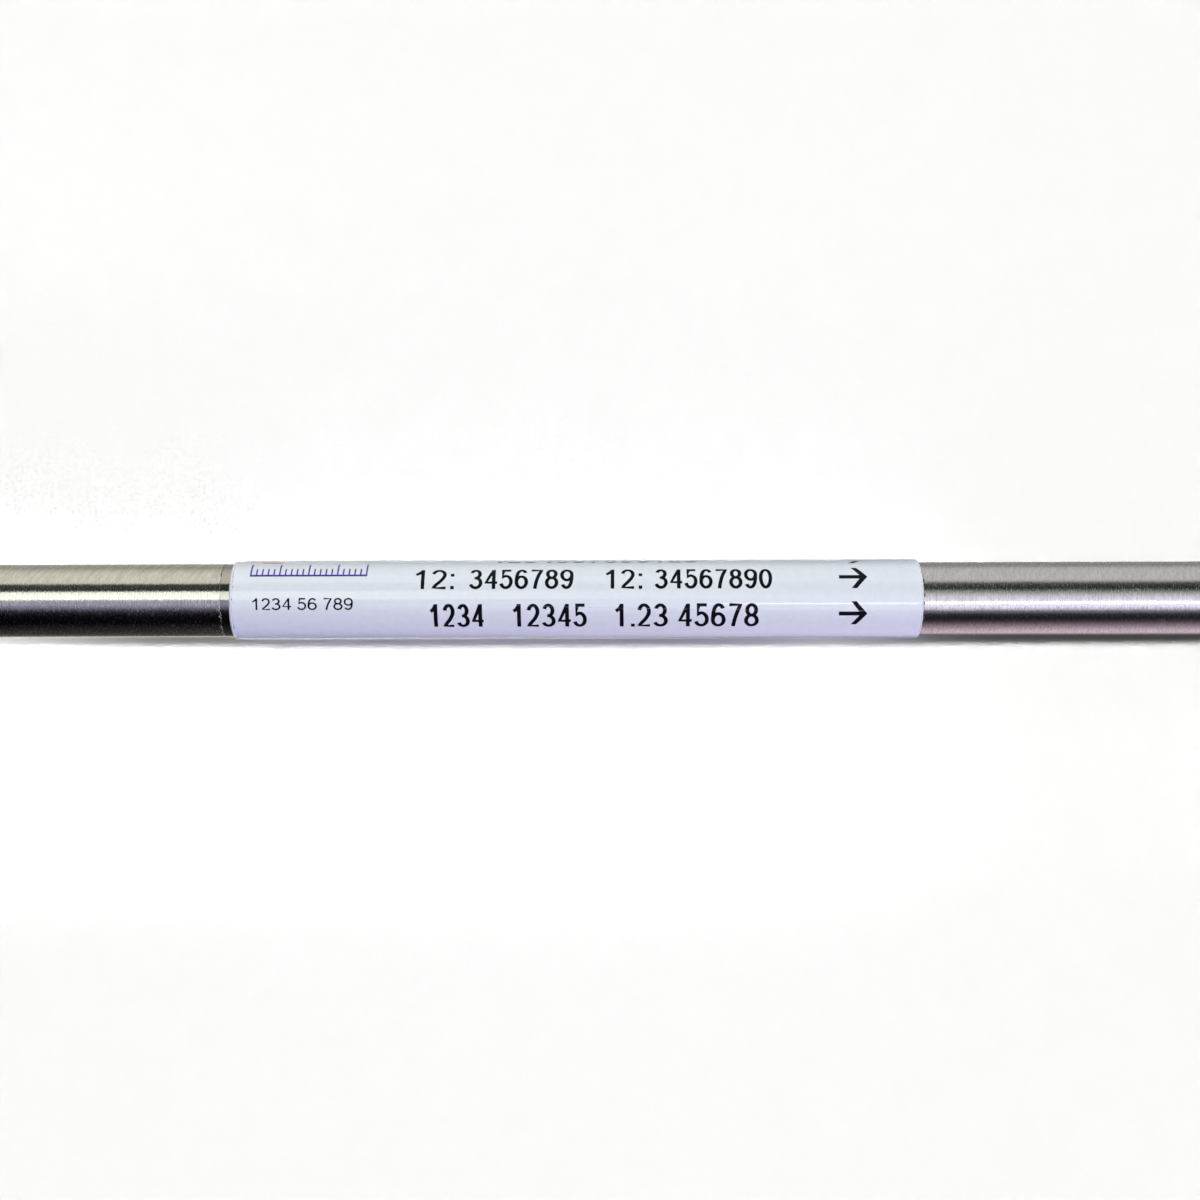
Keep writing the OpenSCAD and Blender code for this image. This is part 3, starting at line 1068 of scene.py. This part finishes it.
BENCH_SIZE = 3000
TENT_R = 300
TENT_HALF = 1500
TENT_PEAK = 2.5  # brightness that a ramp's 1 stands for
TENT_BLEND = (-60, 60)  # along the column, from the inlet's bands to the outlet's
FILL_COLOUR = (0.06, 0.059, 0.066, 1)
FLOOR_SEEN = 0.985
FLOOR_LIGHTING = (0.77, 0.74, 0.90, 1)
FLOOR_FADE = (90, 180)  # where it runs out into the white room
FLOOR_OVAL = 1.6  # and how much further off that is along the column
OLIVE = (1.04, 1.01, 0.87)
MOSS = (1.04, 1.02, 0.72)
CREAM = (1.01, 1.02, 0.90)
GREEN_GREY = (0.93, 1.09, 1.0)
LAVENDER = (0.94, 0.93, 1.27)
DUSK = (0.85, 0.75, 1.5)
LILAC = (0.99, 0.93, 1.14)
MAUVE = (1.12, 0.86, 1.04)
NEUTRAL = (1.0, 1.0, 1.0)
WARM = (1.03, 0.99, 1.00)

# Brightness of the reflection tent, by degrees round from the view turn, at its two ends.
INLET_TENT = [
    (-180, 0.95, MOSS), (-169, 0.90, MOSS), (-158, 0.52, MOSS), (-148, 0.12, OLIVE),
    (-130, 0.055, NEUTRAL), (-112, 0.026, NEUTRAL), (-90, 0.009, NEUTRAL), (-76, 0.0, DUSK),
    (-60, 0.002, DUSK), (-40, 0.004, DUSK), (-31, 0.022, DUSK), (-22, 0.22, LAVENDER),
    (-12, 0.43, LAVENDER), (-4, 0.45, LAVENDER), (2.5, 0.46, NEUTRAL), (4, 1.95, CREAM),
    (12, 1.75, CREAM), (20, 1.65, CREAM), (28.3, 1.45, CREAM), (29.6, 0.04, GREEN_GREY),
    (53, 0.05, GREEN_GREY), (56, 0.82, OLIVE), (66, 0.90, OLIVE), (90, 0.86, OLIVE),
    (107, 0.72, OLIVE), (126, 0.42, OLIVE), (150, 0.44, OLIVE), (180, 0.44, OLIVE),
]
OUTLET_TENT = [
    (-180, 0.12, NEUTRAL), (-158, 0.12, NEUTRAL), (-145, 0.30, MAUVE), (-136, 0.73, WARM),
    (-124, 0.78, MAUVE), (-110, 0.61, MAUVE), (-95, 0.35, MAUVE), (-82, 0.14, MAUVE),
    (-74, 0.045, MAUVE), (-62, 0.018, DUSK), (-50, 0.04, LILAC), (-46.5, 0.06, LILAC),
    (-44.8, 0.26, LILAC), (-43, 0.11, LILAC), (-38, 0.30, LILAC), (-32, 0.98, LILAC),
    (-24, 1.42, LILAC), (-10, 1.36, LILAC), (-2, 1.15, LILAC), (9, 0.81, LILAC), (15, 0.54, NEUTRAL),
    (18, 0.40, GREEN_GREY), (27.5, 0.08, GREEN_GREY), (33, 0.03, GREEN_GREY), (45, 0.06, GREEN_GREY),
    (51.5, 0.16, GREEN_GREY), (57, 0.54, WARM), (63, 0.70, WARM), (98, 0.70, WARM), (112, 0.62, WARM),
    (126, 0.35, WARM), (180, 0.30, WARM),
]
# A slim tube lamp overhead, towards the outlet: its near end tapers.
LAMP_TURN = -12.6  # from the view turn
LAMP_TAPER = (14, 26)
LAMP_FAR_END = 400
LAMP_WIDTH = 3.4
LAMP_LEVEL = 5.8


def only_in_reflections(card):
    """Keeps a card out of sight and out of the lamps' way."""
    card.visible_camera = False
    card.visible_diffuse = False
    card.visible_shadow = False
    card.visible_transmission = False
    card.visible_volume_scatter = False


def tent_colour(finish, turn, bands):
    """Colour of the tent along one of its ends' rows of bands."""
    node = finish.add("ValToRGB", {0: turn})
    for i, (degrees, level, tint) in enumerate(bands):
        place = degrees / 360 + 0.5
        stops = node.color_ramp.elements
        stop = stops[i] if i < 2 else stops.new(place)
        stop.position = place
        stop.color = grey(level / TENT_PEAK, tint)
    return node.outputs[0]


def reflection_tent():
    """A tent round the tube that only reflections show: lit walls and dark gaps."""
    steps = 360
    points, shares = [], []
    for i in range(steps + 1):
        for x in (-TENT_HALF, TENT_HALF):
            points.append(at_turn(x, TENT_R, VIEW_TURN - 180 + 360 * i / steps))
            shares.append(i / steps)
    tent = put("reflection_tent", plain_mesh("reflection_tent", points, grid_faces(steps + 1, 2)))
    round_share = tent.data.attributes.new("share_round", "FLOAT", "POINT")
    round_share.data.foreach_set("value", shares)
    finish = Finish("reflection_tent")
    turn = finish.add("Attribute", attribute_name="share_round").outputs["Fac"]
    side = finish.spread(finish.place()[0], *TENT_BLEND)
    inlet, outlet = (tent_colour(finish, turn, bands) for bands in (INLET_TENT, OUTLET_TENT))
    colour = finish.blend(side, inlet, outlet)
    tent.data.materials.append(finish.glow(colour, TENT_PEAK))
    only_in_reflections(tent)


def slim_lamp():
    """The slim lamp inside the tent, as a lit ribbon."""
    points = []
    for x, width in ((LAMP_TAPER[0], 0.1), (LAMP_TAPER[1], LAMP_WIDTH), (LAMP_FAR_END, LAMP_WIDTH)):
        for edge in (-0.5, 0.5):
            points.append(at_turn(x, TENT_R - 10, VIEW_TURN + LAMP_TURN + edge * width))
    lamp = put("slim_lamp", plain_mesh("slim_lamp", points, grid_faces(3, 2)))
    lamp.data.materials.append(Finish("slim_lamp").glow((1, 1, 1, 1), LAMP_LEVEL))
    only_in_reflections(lamp)


# Each lamp: name, place, size, brightness, colour, what it lights and its spread in degrees. Its
# place is the way along the column, the turn and the distance; its size is along and across.
# COLUMN and FLOOR say how the floor is linked to a lamp that lights only one of the two.
ALL, COLUMN, FLOOR = "everything", "EXCLUDE", "INCLUDE"
LAMPS = [
    ("key_lamp", (0, 87.5, 1500), (1300, 130), 0.74, (1.0, 1.0, 0.97), ALL, 180),
    ("back_lamp", (0, 148, 700), (600, 400), 0.51, (0.94, 1.0, 0.93), COLUMN, 180),
    ("front_lamp", (160, 14, 220), (200, 150), 0.63, (0.90, 0.81, 1.24), COLUMN, 180),
    ("inlet_front_lamp", (-45, 10, 50), (20, 30), 0.06, (0.15, 0.1, 1.0), COLUMN, 180),
    ("bench_lamp", (0, 86.6, 1500), (1300, 160), 0.315, NEUTRAL, FLOOR, 180),
    ("front_bench_lamp", (-19, 20, 24), (84, 8), 0.60, NEUTRAL, FLOOR, 180),
    ("inlet_bench_lamp", (-58, 20, 22), (10, 8), 0.58, NEUTRAL, FLOOR, 102),
    ("label_end_bench_lamp", (-28, 20, 20), (10, 8), 0.025, NEUTRAL, FLOOR, 60),
    ("outlet_bench_lamp", (76, 20, 24), (40, 8), 0.07, NEUTRAL, FLOOR, 180),
    ("cut_bench_lamp", (22.5, 20, 20), (10, 8), 0.09, NEUTRAL, FLOOR, 60),
]


def area_lamp(floor, name, place, size, level, tint, lights, spread):
    """A lamp aimed at the column; level is the brightness it gives white card there.

    Lamps for the column alone cast no shadow, and a spread under 180 gathers the light.
    """
    along, turn, distance = place
    data = bpy.data.lights.new(name, "AREA")
    data.shape = "RECTANGLE"
    data.size, data.size_y = size[0] * MM, size[1] * MM
    data.energy = level * math.pi**2 * (distance * MM) ** 2
    data.color = tint
    data.spread = math.radians(spread)
    data.use_shadow = lights != COLUMN
    back = Vector(at_turn(0, 1, turn))
    right = Vector((1, 0, 0))
    turned = Matrix((right, back.cross(right), back)).transposed().to_4x4()
    lamp = put(name, data)
    lamp.matrix_world = Matrix.Translation(Vector(at_turn(along, distance, turn)) * MM) @ turned
    lamp.visible_camera = False
    lamp.visible_glossy = False
    if lights != ALL:
        chosen = bpy.data.collections.new(f"{name}_lights")
        chosen.objects.link(floor)
        lamp.light_linking.receiver_collection = chosen
        chosen.collection_objects[0].light_linking.link_state = lights


def pale_floor():
    """Bench top: white to the camera, a little darker where it lights the column."""
    half = BENCH_SIZE / 2
    points = [(x, y, FLOOR_Z) for x, y in ((-half, -half), (half, -half), (half, half), (-half, half))]
    floor = put("floor", plain_mesh("floor", points, [(0, 1, 2, 3)]))
    finish = Finish("floor", Roughness=1.0, Specular_IOR_Level=0.0)
    seen = finish.add("LightPath").outputs["Is Camera Ray"]
    finish.drive(Base_Color=finish.blend(seen, FLOOR_LIGHTING, grey(FLOOR_SEEN)))
    x, y = finish.place()[:2]
    away = finish.length(finish.math("DIVIDE", x, FLOOR_OVAL), y)
    share = finish.times(finish.spread(away, *FLOOR_FADE), seen)
    white = finish.make("Emission", {"Color": grey(1.0), "Strength": 1.0})
    mixed = finish.make("MixShader", {0: share, 1: finish.shader.outputs[0], 2: white})
    finish.tree.links.new(mixed, finish.tree.nodes["Material Output"].inputs[0])
    floor.data.materials.append(finish.material)
    floor.visible_glossy = False
    return floor


def white_room():
    """World: white to the camera and in reflections, a plain soft fill for everything else."""
    world = bpy.data.worlds.new("room")
    bpy.context.scene.world = world
    world.use_nodes = True
    room = Tree(world.node_tree)
    rays = room.add("LightPath").outputs
    seen = room.math("MAXIMUM", rays["Is Camera Ray"], rays["Is Glossy Ray"])
    seen = room.math("MAXIMUM", seen, rays["Is Transmission Ray"])
    background = world.node_tree.nodes["Background"]
    room.feed(background.inputs["Color"], room.blend(seen, FILL_COLOUR, grey(1)))


def add_camera():
    """Looks down on the tube from the view turn, a little from the outlet side."""
    data = bpy.data.cameras.new("camera")
    data.lens = LENS
    data.sensor_width = SENSOR
    data.clip_start, data.clip_end = CLIP
    up = Vector(at_turn(0, 1, VIEW_TURN + 90))
    place = Vector(at_turn(CAMERA_X, CAMERA_DISTANCE, VIEW_TURN))
    target = Vector((AIM_X, 0, 0)) + up * AIM_RISE
    ahead = (target - place).normalized()
    right = ahead.cross(up).normalized()
    turned = Matrix((right, right.cross(ahead), -ahead)).transposed()
    turned = turned @ Matrix.Rotation(math.radians(-CAMERA_ROLL), 3, "Z")
    camera = put("camera", data)
    camera.matrix_world = Matrix.Translation(place * MM) @ turned.to_4x4()
    bpy.context.scene.camera = camera


# ---------------- the column

# Rows of plain figures: each word has its left and right end, base and height.
PRINT = {
    "figures_upper": [
        ("12:", -14.0, -10.35, 0.93, 2.05), ("3456789", -9.15, -0.2, 0.93, 2.05),
        ("12:", 2.35, 5.75, 0.93, 2.05), ("34567890", 6.75, 16.8, 0.93, 2.05),
    ],
    "figures_lower": [
        ("1234", -12.7, -7.85, -2.56, 2.24), ("12345", -5.6, 0.95, -2.56, 2.24),
        ("1.23 45678", 3.15, 15.65, -2.56, 2.24),
    ],
    "figures_top": [("1234567890123", -7.4, 10.5, 4.32, 2.2)],
    "figures_small": [("1234 56 789", -27.9, -19.1, -0.84, 1.05)],
}
ARROWS = ((24.93, 2.03), (24.88, -1.26), (24.83, 5.06))  # tip and middle line of each


def make_print():
    """The rows of figures and the flow arrows, all in black."""
    black = ink("ink_black", (0.0015, 0.0015, 0.004))
    for name, words in PRINT.items():
        solids = [solid for word in words for solid in word_solids(*word)]
        print_on_label(name, join_solids(name, solids), black)
    for number, arrow in enumerate(ARROWS, 1):
        print_on_label(f"flow_arrow_{number}", join_solids("arrow", flow_arrow(*arrow)), black)


def make_scale():
    """The coloured scale at the label's inlet end, with a short red bar over it."""
    violet = ink("ink_violet", (0.06, 0.03, 0.30), 0.10)
    red = ink("ink_red", (0.35, 0.03, 0.03), 0.10)
    ticks = graduated_scale()
    ticks.transform(Matrix.Translation((SCALE_LEFT, SCALE_BASE, 0)))
    ticks.materials.clear()
    print_on_label("scale_ticks", ticks, violet)
    length = SCALE_STEP * (SCALE_COUNT - 1) + SCALE_PEN
    rule = block(SCALE_LEFT, SCALE_BASE - RULE_T, length, RULE_T)
    print_on_label("scale_rule", join_solids("rule", [rule]), violet)
    bar = block(SCALE_LEFT + BAR[0], SCALE_BASE + BAR[1], *BAR[2:])
    print_on_label("scale_bar", join_solids("bar", [bar]), red)


def make_label():
    sheet = ring("label_sheet", label_section, LABEL_STEPS)
    dress(sheet, "label_white", label_stock(), stands_for=("label",))
    make_print()
    make_scale()
    film_wrap(clear_film(), film_edge())
    make_crumbs()


def make_tube():
    wall = ring("tube_wall", tube_section, TUBE_STEPS)
    dress(wall, "tube_steel", ground_steel(), stands_for=("column_tube",))


def finish_cad_nodes():
    """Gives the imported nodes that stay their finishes."""
    finishes = {
        "fitting_steel": turned_steel("fitting_steel"),
        "ferrule_steel": turned_steel("ferrule_steel", level=0.56),
        "frit_steel": sintered_steel(),
        "seal_polymer": natural_polymer(),
        "bed_resin": packed_beads(),
    }
    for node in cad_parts.values():
        for slot in node.material_slots:
            if slot.material and slot.material.name.split(".")[0] in finishes:
                slot.material = finishes[slot.material.name.split(".")[0]]
    return finishes


bpy.context.scene.view_settings.view_transform = "Standard"
add_camera()
white_room()
reflection_tent()
slim_lamp()
floor = pale_floor()
for lamp in LAMPS:
    area_lamp(floor, *lamp)
finishes = finish_cad_nodes()
for fitting in ("inlet_end_fitting", "outlet_end_fitting"):
    thread_fitting(fitting, finishes["fitting_steel"])
make_tube()
make_label()
